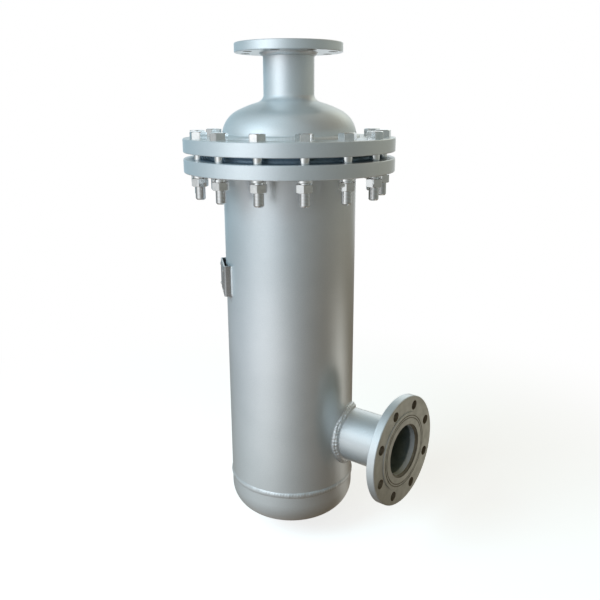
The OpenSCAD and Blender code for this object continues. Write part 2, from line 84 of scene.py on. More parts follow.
patternLow, patternHigh = 0.3, 0.7  # most values of a noise pattern lie between these


def twoTone(tree, pattern, look):
    # the look's low colour where the pattern is low, its high colour where it is high, blended between
    share = addNode(tree, "MapRange", {"Value": pattern, "From Min": patternLow, "From Max": patternHigh})
    ends = {6: linearColour(look["low"]), 7: linearColour(look["high"])}
    return addNode(tree, "Mix", {"Factor": share, **ends}, data_type="RGBA").outputs[2]


def fromAxis(tree, place, axis):
    # the place seen from an axis: its offset from the axis's start, and its distance from the axis
    offset = addNode(tree, "VectorMath", [place, axis["centre"]], operation="SUBTRACT")
    flat = addNode(tree, "VectorMath", [offset, axis["across"]], operation="MULTIPLY")
    return offset, addNode(tree, "VectorMath", [flat], operation="LENGTH").outputs["Value"]


# Sprayed aluminium enamel: fine metal flake in a clear binder, satin, with a soft orange peel.
# It gives the eye broad soft reflections, a slight cloudiness from the spray and a faint sparkle.
paintLook = dict(low="#DADDDE", high="#E6E8E9", metallic=0.65, roughLow=0.28, roughHigh=0.36,
                 cloudMm=70, flakeMm=1.6, peelMm=5, peelBump=0.12, peelDeep=0.0006)
# The same enamel, thin on smooth sheet: darker and glossier
thinLook = dict(paintLook, low="#B2B6B8", high="#C4C7C9", metallic=0.9, roughLow=0.16, roughHigh=0.22)
# What shows where the enamel is thin or missing
steelLook = dict(low="#5C686A", high="#7C8482", scaleMm=18, roughness=0.6)  # mill scale: cool, dark, dull
holeWallAndShadeLook = dict(low="#75695A", high="#93866F", roughness=0.7)  # drilled walls: bare, brown, rough, and painted darker as the shade inside the holes
dustAndShadeLook = dict(low="#7E776B", high="#958E80", roughness=0.6)  # dust and painted shadow in turned grooves; painted shade on the flange's bore wall
faceLook = dict(low="#ABA99F", high="#C3C1B8", roughness=0.5)  # thin dry paint over primer
shadedBackLook = dict(low="#96948B", high="#AAA89F", roughness=0.5)  # the same, painted darker as shade on the back face, which faces away from the lamps
jointSteelAndShadeLook = dict(low="#95ABBA", high="#A8BDCA", roughness=0.55)  # bare turned steel in the cover joint, painted bluer and darker as the shade between the flanges
# Drilled flanges, in metres: how far past an edge its finish reaches, and how squarely a face has to look out
drilling = dict(holes=8, rim=0.0003, bore=0.0008, grooveHalf=0.0011, grooveDepth=0.001, flatOn=0.8)


def makePaint(name, look=paintLook, bore=None, drilled=None, joint=None):
    material, tree = startMaterial(name)
    place = addNode(tree, "TexCoord").outputs["Object"]
    cloud = addNode(tree, "TexNoise", {"Vector": place, "Scale": 1000 / look["cloudMm"], "Detail": 4.0})
    flake = addNode(tree, "TexNoise", {"Vector": place, "Scale": 1000 / look["flakeMm"], "Detail": 1.0})
    peel = addNode(tree, "TexNoise", {"Vector": place, "Scale": 1000 / look["peelMm"], "Detail": 2.0})
    spots = addNode(tree, "TexNoise", {"Vector": place, "Scale": 1000 / steelLook["scaleMm"], "Detail": 6.0})
    both = addNode(tree, "Math", [cloud, flake], operation="ADD")
    colour = twoTone(tree, addNode(tree, "Math", [both, 0.5], operation="MULTIPLY"), look)
    rough = addNode(tree, "MapRange", {"Value": flake, "From Min": patternLow, "From Max": patternHigh,
                                       "To Min": look["roughLow"], "To Max": look["roughHigh"]})
    metal = look["metallic"]
    bare = []
    if bore:
        # mill scale inside the pipe; paint mist reaches in from its end and thins out unevenly
        offset, away = fromAxis(tree, place, bore)
        inside = addNode(tree, "Math", [away, bore["radius"]], operation="LESS_THAN")
        along = addNode(tree, "VectorMath", [offset, bore["outward"]], operation="DOT_PRODUCT")
        uneven = addNode(tree, "Math", [spots, bore["ragged"]], operation="MULTIPLY")
        depth = addNode(tree, "Math", [along.outputs["Value"], uneven], operation="ADD")
        edge = bore["end"] - bore["painted"]
        thin = addNode(tree, "MapRange", {"Value": depth, "From Min": edge, "From Max": edge - bore["reach"]})
        bare.append((addNode(tree, "Math", [inside, thin], operation="MULTIPLY"), steelLook))
        # dry overspray and mill scale hold no flake that shines
        outside = addNode(tree, "Math", [1.0, inside], operation="SUBTRACT")
        metal = addNode(tree, "Math", [outside, look["metallic"]], operation="MULTIPLY")
    if drilled:
        offset, away = fromAxis(tree, place, drilled)
        if drilled["dustAndShade"]:
            # the front face in thin dry paint; the back face painted darker as shade, since it faces away
            # from the lamps
            normal = addNode(tree, "NewGeometry").outputs["Normal"]
            facing = addNode(tree, "VectorMath", [normal, drilled["outward"]], operation="DOT_PRODUCT")
            facing = facing.outputs["Value"]
            flatOn = drilling["flatOn"]
            bare.append((addNode(tree, "Math", [facing, flatOn], operation="GREATER_THAN"), faceLook))
            bare.append((addNode(tree, "Math", [facing, -flatOn], operation="LESS_THAN"), shadedBackLook))
        # bolt holes have bare walls, painted darker as their shade: distance from the nearest hole's axis by
        # the cosine rule
        split = addNode(tree, "SeparateXYZ", [offset])
        first, second = split.outputs[drilled["first"]], split.outputs[drilled["second"]]
        halfStep = math.pi / drilling["holes"]
        angle = addNode(tree, "Math", [second, first], operation="ARCTAN2")
        angle = addNode(tree, "Math", [angle, halfStep], operation="ADD")
        angle = addNode(tree, "Math", [angle, halfStep, -halfStep], operation="WRAP")
        cosine = addNode(tree, "Math", [angle], operation="COSINE")
        twice = addNode(tree, "Math", [away, 2 * drilled["circle"]], operation="MULTIPLY")
        twice = addNode(tree, "Math", [twice, cosine], operation="MULTIPLY")
        square = addNode(tree, "Math", [away, away], operation="MULTIPLY")
        square = addNode(tree, "Math", [square, drilled["circle"] ** 2], operation="ADD")
        square = addNode(tree, "Math", [square, twice], operation="SUBTRACT")
        reach = (drilled["hole"] + drilling["rim"]) ** 2
        bare.append((addNode(tree, "Math", [square, reach], operation="LESS_THAN"), holeWallAndShadeLook))
        # the flange's bore wall between its face and the pipe's end: a ring of painted shade
        bare.append((addNode(tree, "Math", [away, drilled["bore"]], operation="LESS_THAN"), dustAndShadeLook))
        # the turned grooves hold dust and painted shadow; drawn a little wider than they are, or they would
        # be lost
        level = addNode(tree, "VectorMath", [offset, drilled["outward"]], operation="DOT_PRODUCT")
        grooveFoot = drilled["face"] - drilling["grooveDepth"]
        front = addNode(tree, "Math", [level.outputs["Value"], grooveFoot], operation="GREATER_THAN")
        for radius in drilled["grooves"]:
            ring = addNode(tree, "Math", [away, radius, drilling["grooveHalf"]], operation="COMPARE")
            bare.append((addNode(tree, "Math", [front, ring], operation="MULTIPLY"), dustAndShadeLook))
    if joint:
        # the faces inside the cover joint got no paint but the mist that reached in from their rims; their
        # colour is also painted shade, bluer and darker going in between the flanges
        height = addNode(tree, "SeparateXYZ", [place]).outputs[2]
        above = addNode(tree, "Math", [height, joint["low"]], operation="GREATER_THAN")
        below = addNode(tree, "Math", [height, joint["high"]], operation="LESS_THAN")
        between = addNode(tree, "Math", [above, below], operation="MULTIPLY")
        away = fromAxis(tree, place, joint)[1]
        inward = addNode(tree, "MapRange", {"Value": away, "From Min": joint["mist"],
                                            "From Max": joint["dark"]})
        bare.append((addNode(tree, "Math", [between, inward], operation="MULTIPLY"), jointSteelAndShadeLook))
    for mask, finish in bare:
        under = twoTone(tree, spots, finish)
        colour = addNode(tree, "Mix", {"Factor": mask, 6: colour, 7: under}, data_type="RGBA").outputs[2]
        rough = addNode(tree, "Mix", {"Factor": mask, 2: rough, 3: finish["roughness"]})
    bump = addNode(tree, "Bump", {"Height": peel, "Strength": look["peelBump"], "Distance": look["peelDeep"]})
    shader = addNode(tree, "BsdfPrincipled", {"Base Color": colour, "Roughness": rough,
                                              "Metallic": metal, "Normal": bump})
    addNode(tree, "OutputMaterial", [shader])
    return material


# Bright zinc plate on cold-headed steel: mirror-like but faintly hazed, cool, with small handling marks.
# thread is a greyer zinc: painted shade for the thread ends below the nuts
zincLook = dict(low="#E6E8E9", high="#FAFAFA", thread="#D6D8D9", hazeMm=9, roughLow=0.07, roughHigh=0.15)


def makeZinc(threadTop):
    material, tree = startMaterial("bright zinc plate")
    place = addNode(tree, "TexCoord").outputs["Object"]
    haze = addNode(tree, "TexNoise", {"Vector": place, "Scale": 1000 / zincLook["hazeMm"], "Detail": 5.0})
    # the thread ends below the nuts are greyer: painted shade, standing in for the shade in the thread's
    # grooves
    height = addNode(tree, "SeparateXYZ", [place]).outputs[2]
    below = addNode(tree, "Math", [height, threadTop], operation="LESS_THAN")
    shades = {6: twoTone(tree, haze, zincLook), 7: linearColour(zincLook["thread"])}
    colour = addNode(tree, "Mix", {"Factor": below, **shades}, data_type="RGBA").outputs[2]
    rough = addNode(tree, "MapRange", {"Value": haze, "From Min": patternLow, "From Max": patternHigh,
                                       "To Min": zincLook["roughLow"], "To Max": zincLook["roughHigh"]})
    shader = addNode(tree, "BsdfPrincipled", {"Base Color": colour, "Roughness": rough, "Metallic": 1.0})
    addNode(tree, "OutputMaterial", [shader])
    return material


# Compressed fibre gasket sheet: matt blue-grey, with short fibres that catch a little light.
gasketLook = dict(low="#6F8695", high="#8DA2B0", fibreMm=3, bump=0.4, deep=0.0005, roughness=0.8)


def makeGasket():
    look = gasketLook
    material, tree = startMaterial("compressed fibre sheet")
    place = addNode(tree, "TexCoord").outputs["Object"]
    fibre = addNode(tree, "TexNoise", {"Vector": place, "Scale": 1000 / look["fibreMm"], "Detail": 6.0})
    bump = addNode(tree, "Bump", {"Height": fibre, "Strength": look["bump"], "Distance": look["deep"]})
    shader = addNode(tree, "BsdfPrincipled", {"Base Color": twoTone(tree, fibre, look), "Normal": bump,
                                              "Roughness": look["roughness"]})
    addNode(tree, "OutputMaterial", [shader])
    return material


# Brushed aluminium sheet: fine level scratches that stretch the highlights across them.
plateLook = dict(low="#B3B7B9", high="#D3D6D8", lineMm=0.9, runMm=60, bump=0.2, deep=0.0002, roughness=0.34)


def makePlate():
    look = plateLook
    material, tree = startMaterial("brushed aluminium sheet")
    place = addNode(tree, "TexCoord").outputs["Object"]
    run, across = 1000 / look["runMm"], 1000 / look["lineMm"]
    stretch = addNode(tree, "Mapping", {"Vector": place, "Scale": (run, run, across)})
    lines = addNode(tree, "TexNoise", {"Vector": stretch, "Scale": 1.0, "Detail": 3.0})
    bump = addNode(tree, "Bump", {"Height": lines, "Strength": look["bump"], "Distance": look["deep"]})
    shader = addNode(tree, "BsdfPrincipled", {"Base Color": twoTone(tree, lines, look), "Normal": bump,
                                              "Metallic": 1.0, "Roughness": look["roughness"]})
    addNode(tree, "OutputMaterial", [shader])
    return material


# Hot rolled steel inside: dark grey mill scale with lighter patches, dull.
rolledLook = dict(steelLook, bump=0.2, deep=0.0005, metallic=0.6)


def makeSteel():
    look = rolledLook
    material, tree = startMaterial("hot rolled steel")
    place = addNode(tree, "TexCoord").outputs["Object"]
    spots = addNode(tree, "TexNoise", {"Vector": place, "Scale": 1000 / look["scaleMm"], "Detail": 6.0})
    bump = addNode(tree, "Bump", {"Height": spots, "Strength": look["bump"], "Distance": look["deep"]})
    shader = addNode(tree, "BsdfPrincipled", {"Base Color": twoTone(tree, spots, look), "Normal": bump,
                                              "Metallic": look["metallic"], "Roughness": look["roughness"]})
    addNode(tree, "OutputMaterial", [shader])
    return material


def surfaceFaces(count, closeU, closeV):
    # quads of a grid of points, with its ends joined where it closes
    index = np.arange(count[0] * count[1]).reshape(count)
    if closeU:
        index = np.concatenate([index, index[:1]], 0)
    if closeV:
        index = np.concatenate([index, index[:, :1]], 1)
    return np.stack([index[:-1, :-1], index[1:, :-1], index[1:, 1:], index[:-1, 1:]], -1).reshape(-1, 4)


mergeDistance = 2e-6


def makePiece(name, grids, material, slotName, *replaced, sharpDegrees=32):
    # grids: (points, closeU, closeV); all go into one mesh, doubles merged and normals set outwards
    points, faces, start = [], [], 0
    for grid, closeU, closeV in grids:
        points.append(grid.reshape(-1, 3))
        faces.append(surfaceFaces(grid.shape[:2], closeU, closeV) + start)
        start += grid.shape[0] * grid.shape[1]
    points, faces = np.concatenate(points), np.concatenate(faces)
    mesh = bpy.data.meshes.new(name)
    mesh.vertices.add(len(points))
    mesh.vertices.foreach_set("co", points.astype(np.float32).ravel())
    mesh.loops.add(faces.size)
    mesh.loops.foreach_set("vertex_index", faces.astype(np.int32).ravel())
    mesh.polygons.add(len(faces))
    mesh.polygons.foreach_set("loop_start", np.arange(0, faces.size, 4, dtype=np.int32))
    mesh.update(calc_edges=True)
    work = bmesh.new()
    work.from_mesh(mesh)
    bmesh.ops.remove_doubles(work, verts=work.verts, dist=mergeDistance)
    bmesh.ops.recalc_face_normals(work, faces=work.faces)
    work.to_mesh(mesh)
    work.free()
    mesh.shade_smooth()
    mesh.set_sharp_from_angle(angle=math.radians(sharpDegrees))
    mesh.materials.append(material)
    piece = bpy.data.objects.new(name, mesh)
    scene.collection.objects.link(piece)
    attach(piece, "root")
    if replaced:
        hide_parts(*replaced)
    print("made", name, len(mesh.polygons), "faces")
    return piece


# Main sizes, read from the solids
shellR = -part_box("shell")[0].x
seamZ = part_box("shell")[0].z
coverUnder, coverTop = (corner.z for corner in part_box("cover_flange"))
bodyUnder, bodyTop = (corner.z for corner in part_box("body_flange"))
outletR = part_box("outlet_neck")[1].x
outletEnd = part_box("outlet_neck")[1].z
outletUnder, outletFace = (corner.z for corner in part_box("outlet_flange"))
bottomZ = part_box("bottom_head")[0].z
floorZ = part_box("drain_socket")[0].z
inletLo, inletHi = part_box("inlet_neck")
inletY, inletZ = (inletLo.y + inletHi.y) / 2, (inletLo.z + inletHi.z) / 2
inletR = (inletHi.z - inletLo.z) / 2
inletBack, inletFace = (corner.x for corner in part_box("inlet_flange"))
bracketLow, bracketHigh = (corner.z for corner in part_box("nameplate_bracket"))
wall = dict(neck=0.004, shell=0.008, crown=0.235, knuckle=0.058)

# Where each finish ends, in metres
vesselAxis = dict(centre=(0, 0, 0), across=(1, 1, 0), outward=(0, 0, 1), first=0, second=1)
inletAxis = dict(centre=(0, inletY, inletZ), across=(0, 1, 1), outward=(1, 0, 0), first=1, second=2)
mist = dict(painted=0.0065, reach=0.004, ragged=0.004)
farAbove = 1.0  # a bore with its end up here gets no paint mist
# where the cover joint's faces turn to bare steel and painted shade: past in height, mist and dark as radii
# from the axis
jointShadeMask = dict(past=0.0045, mist=0.206, dark=0.184)
threadDrop = 0.0245  # from the body flange's underside down to the bare thread

silver = makePaint("aluminium enamel")
silverShell = makePaint("aluminium enamel, bare bore",
                        bore=dict(vesselAxis, **mist, radius=shellR - wall["shell"] / 2, end=farAbove))
silverOutlet = makePaint("aluminium enamel, bare outlet",
                         bore=dict(vesselAxis, **mist, radius=outletR - wall["neck"] / 2, end=outletEnd))
silverInlet = makePaint("aluminium enamel, bare inlet",
                        bore=dict(inletAxis, **mist, radius=inletR - wall["neck"] / 2, end=inletHi.x))
outletDrilled = makePaint("aluminium enamel, drilled outlet",
                          drilled=dict(vesselAxis, circle=0.090, hole=0.009, face=outletFace, dustAndShade=False,
                                       bore=outletR + drilling["bore"], grooves=(0.0701, 0.0651)))
inletDrilled = makePaint("aluminium enamel, drilled inlet",
                         drilled=dict(inletAxis, circle=0.0975, hole=0.010, face=inletFace, dustAndShade=True,
                                      bore=inletR + drilling["bore"], grooves=(0.0761, 0.0711)))
# the cover and body flanges, with painted shade on their faces inside the joint
silverJointShade = makePaint("aluminium enamel, masked joint",
                        joint=dict(vesselAxis, mist=jointShadeMask["mist"], dark=jointShadeMask["dark"],
                                   low=bodyTop - jointShadeMask["past"], high=coverUnder + jointShadeMask["past"]))
silverThin = makePaint("aluminium enamel, thin on bright sheet", thinLook)
zinc = makeZinc(bodyUnder - threadDrop)
bySlot = {"silver_paint": silver, "bright_zinc": zinc, "gasket_sheet": makeGasket(),
          "blank_plate": makePlate(), "inner_steel": makeSteel()}
byNode = {"shell": silverShell, "outlet_neck": silverOutlet, "inlet_neck": silverInlet,
          "outlet_flange": outletDrilled, "inlet_flange": inletDrilled,
          "cover_flange": silverJointShade, "body_flange": silverJointShade, "nameplate_bracket": silverThin}
for part in frame["record"]["subparts"]:
    body = nodes[part["node"]].data
    body.materials.clear()
    body.materials.append(byNode.get(part["node"], bySlot[part["material_slot"]]))
print("materials set on", len(nodes), "solids")


def turned(r, h, theta):
    # a ring surface about Z: radius r and height h at angle theta
    r, h, theta = np.broadcast_arrays(r, h, theta)
    return np.stack([r * np.cos(theta), r * np.sin(theta), h], -1)


def ontoInlet(points):
    # Z becomes the inlet's axis +X, the ring's plane becomes Y and Z
    return np.stack([points[..., 2], points[..., 0] + inletY, points[..., 1] + inletZ], -1)


def spun(points, degrees):
    # points turned about the vessel's axis: x and y through the cosine and sine of the angle
    turn = math.radians(degrees)
    spin = [[math.cos(turn), math.sin(turn), 0], [-math.sin(turn), math.cos(turn), 0], [0, 0, 1]]
    return points @ np.array(spin)


def closedEnds(grid):
    # both end rows of a tube drawn together to their middles
    first = np.repeat(grid[:1].mean(1, keepdims=True), grid.shape[1], 1)
    last = np.repeat(grid[-1:].mean(1, keepdims=True), grid.shape[1], 1)
    return np.concatenate([first, grid, last], 0)


# Weld beads: legs in metres; ripples are crescents a few millimetres apart, left by the welder's steps
beadLook = dict(ripple=0.00035, pitch=0.0065, bulge=0.12, wander=0.05, rows=12, step=0.0011, sink=0.0002)


def cornerBead(r, h, out, along, seed):
    # Face of the bead: a straight line from the toe at (r + out, h) to the toe at (r, h + along), plus a
    # bulge of sin(pi v) and ripples |sin| that bow forward in the middle. The corner closes the section.
    look = beadLook
    count = max(24, round(tau * r / look["pitch"]))
    theta = np.linspace(0, tau, round(tau * r / look["step"]), endpoint=False)[:, None]
    v = np.linspace(0, 1, look["rows"])[None, :]
    slow = 1 + look["wander"] * (np.sin(5 * theta + seed) + 0.7 * np.sin(11 * theta + 2.3 * seed))
    toeOut, toeAlong = out * slow, along * (2 - slow)
    crest = np.abs(np.sin(count * theta / 2 + 1.4 * (1 - (2 * v - 1) ** 2) + 0.5 * np.sin(9 * theta + seed)))
    hump = np.sin(np.pi * v)
    lift = hump * look["bulge"] * abs(out) + look["ripple"] * crest * np.sqrt(hump.clip(0))
    tilt = math.hypot(out, along)
    rSunk, hSunk = r - look["sink"] * np.sign(out), h - look["sink"] * np.sign(along)
    rFace = r + toeOut * (1 - v) + lift * abs(along) / tilt * np.sign(out)
    hFace = h + toeAlong * v + lift * abs(out) / tilt * np.sign(along)
    hFace = np.where(v == 0, hSunk, hFace)
    rFace = np.where(v == 1, rSunk, rFace)
    return np.concatenate([turned(rFace, hFace, theta), turned(rSunk, hSunk, theta)], 1)


# Flange welds: the leg at the back, and the bead on the pipe's end a little way inside the bore
flangeWeld = dict(leg=0.007, slip=0.0005, inset=0.006)
leg, slip, inset = flangeWeld["leg"], flangeWeld["slip"], flangeWeld["inset"]
makePiece("outletFlangeWeld", [(cornerBead(outletR, outletUnder, leg, -leg, 1.0), True, True)],
          silver, "silver_paint", "outlet_flange_weld")
makePiece("bodyFlangeWeld", [(cornerBead(shellR, bodyUnder, leg, -leg, 2.0), True, True)],
          silver, "silver_paint", "body_flange_weld")
makePiece("coverFlangeWeld", [(cornerBead(shellR, coverTop, leg, leg, 3.0), True, True)],
          silver, "silver_paint", "cover_flange_weld")
makePiece("inletFlangeWeld", [(ontoInlet(cornerBead(inletR, inletBack, leg, -leg, 4.0)), True, True)],
          silver, "silver_paint", "inlet_flange_weld")
outletBead = cornerBead(outletR + slip, outletFace - inset, -wall["neck"], wall["neck"], 5.0)
makePiece("outletFaceWeld", [(outletBead, True, True)], outletDrilled, "silver_paint", "outlet_face_weld")
inletBead = ontoInlet(cornerBead(inletR + slip, inletFace - inset, -wall["neck"], wall["neck"], 6.0))
makePiece("inletFaceWeld", [(inletBead, True, True)], inletDrilled, "silver_paint", "inlet_face_weld")


def crownHeight(r):
    # depth of a head's crown below its pole at distance r from the axis
    return wall["crown"] - np.sqrt(wall["crown"] ** 2 - np.asarray(r) ** 2)


# The neck runs into the cover in a smooth dressed weld: it leaves the pipe upright and meets the dome
neckWeld = dict(leg=0.011, foot=0.013, bowOut=0.0015, bowUp=0.0005, root=0.003, skirt=0.001,
                rows=16, steps=240)
knuckleIn, knuckleOut = wall["crown"] - wall["knuckle"], shellR - wall["knuckle"]
crownRise = wall["crown"] - math.sqrt(knuckleIn ** 2 - knuckleOut ** 2)
crownTop = coverTop + neckWeld["skirt"] + crownRise


def neckBlend():
    # quadratic curve through the pipe's toe, the corner and the dome's toe, turned about Z
    look = neckWeld
    theta = np.linspace(0, tau, look["steps"], endpoint=False)[:, None]
    v = np.linspace(0, 1, look["rows"])[None, :]
    sink = beadLook["sink"]
    cornerZ = crownTop - crownHeight(outletR)
    footZ = crownTop - crownHeight(outletR + look["foot"]) - sink
    wave = 1 + 0.04 * np.sin(4 * theta + 0.5) + 0.03 * np.sin(9 * theta)
    a, b, c = (1 - v) ** 2, 2 * v * (1 - v), v ** 2
    r = a * (outletR - sink) + b * (outletR + look["bowOut"]) + c * (outletR + look["foot"])
    z = a * (cornerZ + look["leg"] * wave) + b * (cornerZ + look["bowUp"]) + c * footZ
    corner = turned(outletR - sink, cornerZ - look["root"], theta)
    return np.concatenate([turned(r, z, theta), corner], 1)


makePiece("coverNeckWeld", [(neckBlend(), True, True)], silver, "silver_paint", "cover_neck_weld")

# Drain socket's weld under the bottom head
drainLeg = 0.003
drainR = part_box("drain_socket")[1].x
drainBead = cornerBead(drainR, bottomZ + crownHeight(drainR), drainLeg, -drainLeg, 7.0)
makePiece("drainWeld", [(drainBead, True, True)], silver, "silver_paint", "drain_weld")

# Seam of the bottom head: a raised cap bead, a little uneven
seamBead = dict(width=0.0135, height=0.0018, ripple=0.0005, pitch=0.0065, root=0.001, drift=0.0004, power=1.2,
                rows=17, steps=960)


def seamRing():
    # radius: shell plus a flattened hump across the width, swelling slowly round the seam, plus ripples
    look = seamBead
    theta = np.linspace(0, tau, look["steps"], endpoint=False)[:, None]
    v = np.linspace(-1, 1, look["rows"])[None, :]
    hump = (1 - v ** 2).clip(0) ** look["power"]
    slow = 1 + 0.1 * np.sin(4 * theta + 1) + 0.12 * np.sin(31 * theta)
    slow = slow + 0.12 * np.sin(47 * theta + 2) * np.cos(6 * theta)
    count = round(tau * shellR / look["pitch"])
    crest = np.abs(np.sin(count * theta / 2 + 1.3 * (1 - v ** 2)))
    r = shellR - beadLook["sink"] + hump * (look["height"] * slow + look["ripple"] * crest)
    z = seamZ + v * look["width"] / 2 * (1 + 0.06 * np.sin(7 * theta)) + look["drift"] * np.sin(5 * theta + 2)
    return np.concatenate([turned(r, z, theta), turned(shellR - look["root"], seamZ, theta)], 1)


makePiece("bottomSeamWeld", [(seamRing(), True, True)], silver, "silver_paint", "bottom_seam_weld")

# Inlet weld on the shell: a saddle in two passes, so a valley runs between two ridges
saddle = dict(leg=0.0100, bulge=0.0024, ridge=0.0006, ripple=0.0006, lump=0.0009, pitch=0.006, root=0.0005,
              rows=19, steps=420)


def saddleBead():
    # The root is the curve where pipe and shell meet. From the toe on the shell to the toe on the pipe the
    # face is a straight line, lifted along the mean of both normals by a bulge sin(pi v) and two ridges
    # |sin(2 pi v)|.
    look = saddle
    turn = np.linspace(0, tau, look["steps"], endpoint=False)[:, None]
    v = np.linspace(0, 1, look["rows"])[None, :]
    around = np.concatenate([np.zeros_like(turn), np.cos(turn), np.sin(turn)], 1)
    slow = 1 + 0.05 * np.sin(3 * turn + 1) + 0.05 * np.sin(8 * turn)

    def onShell(radius):
        # the shell's surface at a distance from the inlet's axis: x from the circle through y
        y, z = inletY + radius * np.cos(turn), inletZ + radius * np.sin(turn)
        return np.concatenate([np.sqrt(shellR ** 2 - y ** 2), y, z], 1)

    root = onShell(inletR)
    foot = onShell(inletR + look["leg"] * slow)
    head = root + np.array([look["leg"], 0, 0]) * (2 - slow)
    normal = around + root * np.array([1, 1, 0]) / shellR
    normal /= np.linalg.norm(normal, axis=1, keepdims=True)
    crest = np.abs(np.sin(round(tau * inletR / look["pitch"]) * turn / 2 + 2 * np.abs(v - 0.5)))
    lumps = look["lump"] * np.sin(19 * turn + 5 * v) * np.sin(31 * turn + 2 * np.sin(3 * turn) - 4 * v)
    ridges = (look["ridge"] + look["ripple"] * crest) * np.abs(np.sin(tau * v))
    lift = (look["bulge"] + lumps) * np.sin(np.pi * v) + ridges
    face = foot[:, None] * (1 - v)[..., None] + head[:, None] * v[..., None]
    face += normal[:, None] * lift[..., None]
    face[:, 0] -= normal * beadLook["sink"] * 2
    face[:, -1] -= around * beadLook["sink"]
    return np.concatenate([face, (root - normal * look["root"])[:, None]], 1)


makePiece("inletNeckWeld", [(saddleBead(), True, True)], silver, "silver_paint", "inlet_neck_weld")

# Fillet beads down both sides of the nameplate bracket
bracket = dict(angle=228, width=0.090, standOff=0.0085, leg=0.0024, least=0.0001, root=0.0008, bulge=0.15,
               rows=9, steps=120, pitch=0.005, ripple=0.0003)


def bracketBead(side):
    # straight bead up the bracket's wall: its section shrinks to nothing at both ends
    look = bracket
    sink = beadLook["sink"]
    high = bracketHigh - bracketLow
    u = np.linspace(0, 1, look["steps"])[:, None]
    v = np.linspace(0, 1, look["rows"])[None, :]
    taper = (1 - (2 * u - 1) ** 10).clip(0) ** 0.5
    size = look["leg"] * taper * (1 + 0.06 * np.sin(17 * u)) + look["least"]
    half = look["width"] / 2
    rootX = math.sqrt(shellR ** 2 - half ** 2)
    crest = np.abs(np.sin(np.pi * high * u / look["pitch"] + (1 - (2 * v - 1) ** 2)))
    lift = np.sin(np.pi * v) * (look["bulge"] * size + look["ripple"] * crest)
    footY = half + size
    footX = np.sqrt(shellR ** 2 - footY ** 2)
    x = (rootX + size) * (1 - v) + footX * v + lift * 0.6 - np.where(v == 1, 2 * sink, 0)
    y = half * (1 - v) + footY * v + lift * 0.8 - np.where(v == 0, sink, 0)
    z = bracketLow + high * u + 0 * v
    corner = np.stack([0 * u + rootX - look["root"], 0 * u + half - sink, bracketLow + high * u], -1)
    grid = np.concatenate([np.stack([x, y, z], -1), corner], 1)
    grid[..., 1] *= side
    return closedEnds(spun(grid, look["angle"]))


makePiece("bracketWelds", [(bracketBead(1), False, True), (bracketBead(-1), False, True)],
          silver, "silver_paint", "bracket_welds")

# Cover bolts, nuts and spring washers (M20); turns in degrees, the rest in metres
bolts = dict(count=14, phase=8.5, circleR=0.189, flats=0.030, head=0.0145, shankR=0.010,
             nutLine=-57, headLine=-87, sway=27, swayStep=129, faceShare=0.95, chamfer=30,
             nut=0.016, play=0.00015, mouth=0.0011, mouthDeep=0.001,
             washer=0.008, bar=0.005, washerR=0.0145, washerPlay=0.0003, ease=0.0006, slit=0.002, slitTurn=37,
             tail=0.026, point=0.0025, bury=0.001, threadAbove=0.008, runOut=0.002,
             threadPitch=0.0025, threadDepth=0.0002)
hexTheta = np.linspace(0, tau, 72, endpoint=False)
roundTheta = np.linspace(0, tau, 32, endpoint=False)
nutTop = bodyUnder - bolts["washer"]
nutLow = nutTop - bolts["nut"]
boltEnd = nutLow - bolts["tail"]


def hexRows(turn, low, high, chamferLow):
    # Side of a hexagon: half the flats over the cosine of the angle from the side's middle. A cone is turned
    # on its top, and on its foot too for a nut; where the cone cuts the side it leaves an arc on each flat.
    side = bolts["flats"] / 2 / np.cos((hexTheta - turn) % (tau / 6) - tau / 12)
    lead = np.full_like(hexTheta, bolts["faceShare"] * bolts["flats"] / 2)
    drop = (side - lead).clip(0) * math.tan(math.radians(bolts["chamfer"]))
    foot = [(lead, low), (side, low + drop)] if chamferLow else [(side, low)]
    return foot + [(side, high - drop), (lead, high)]


def stackRows(rows, theta):
    # rows of (radius, height) at each angle become a surface turned about Z
    return np.stack([turned(r, h, theta) for r, h in rows], 0)


def boltAngle(i):
    return bolts["phase"] + i * 360 / bolts["count"]


def atBolt(grid, i):
    # from the bolt's own axis out to its place on the bolt circle
    return spun(grid + np.array([bolts["circleR"], 0, 0]), boltAngle(i))


def boltHead(i):
    # closed hexagon with its top chamfered; the corners point nearly one way and sway from bolt to bolt
    sway = bolts["sway"] * math.cos(math.radians(bolts["swayStep"] * i))
    turn = math.radians(bolts["headLine"] - sway - boltAngle(i))
    top = coverTop + bolts["head"]
    rows = [(0.0, coverTop)] + hexRows(turn, coverTop, top, False) + [(0.0, top)]
    return atBolt(stackRows(rows, hexTheta), i)


def boltShank(i):
    # plain shank, then a screw thread: the radius dips with the cosine of height less angle
    top = coverTop - bolts["bury"]
    threadTop = bodyUnder + bolts["threadAbove"]
    plain = np.array([top, threadTop + bolts["runOut"]])
    thread = np.arange(threadTop, boltEnd + bolts["point"], -bolts["threadPitch"] / 6)
    z = np.concatenate([plain, thread])[:, None]
    theta = roundTheta[None, :]
    cut = 0.5 - 0.5 * np.cos(tau * z / bolts["threadPitch"] - theta)
    r = bolts["shankR"] - np.where(z < threadTop + bolts["runOut"] / 4, bolts["threadDepth"] * cut, 0)
    ends = [(bolts["shankR"] - bolts["point"], boltEnd), (0.0, boltEnd)]
    shank = [stackRows([(0.0, top)], roundTheta), turned(r, z, theta), stackRows(ends, roundTheta)]
    return atBolt(np.concatenate(shank, 0), i)


def nut(i):
    # hexagon chamfered at both ends, then back down a round bore with a countersunk mouth at each end
    turn = math.radians(bolts["nutLine"] - boltAngle(i))
    bore = bolts["shankR"] + bolts["play"]
    mouth, deep = bore + bolts["mouth"], bolts["mouthDeep"]
    rows = hexRows(turn, nutLow, nutTop, True)
    rows += [(mouth, nutTop), (bore, nutTop - deep), (bore, nutLow + deep), (mouth, nutLow)]
    return atBolt(stackRows(rows, hexTheta), i)


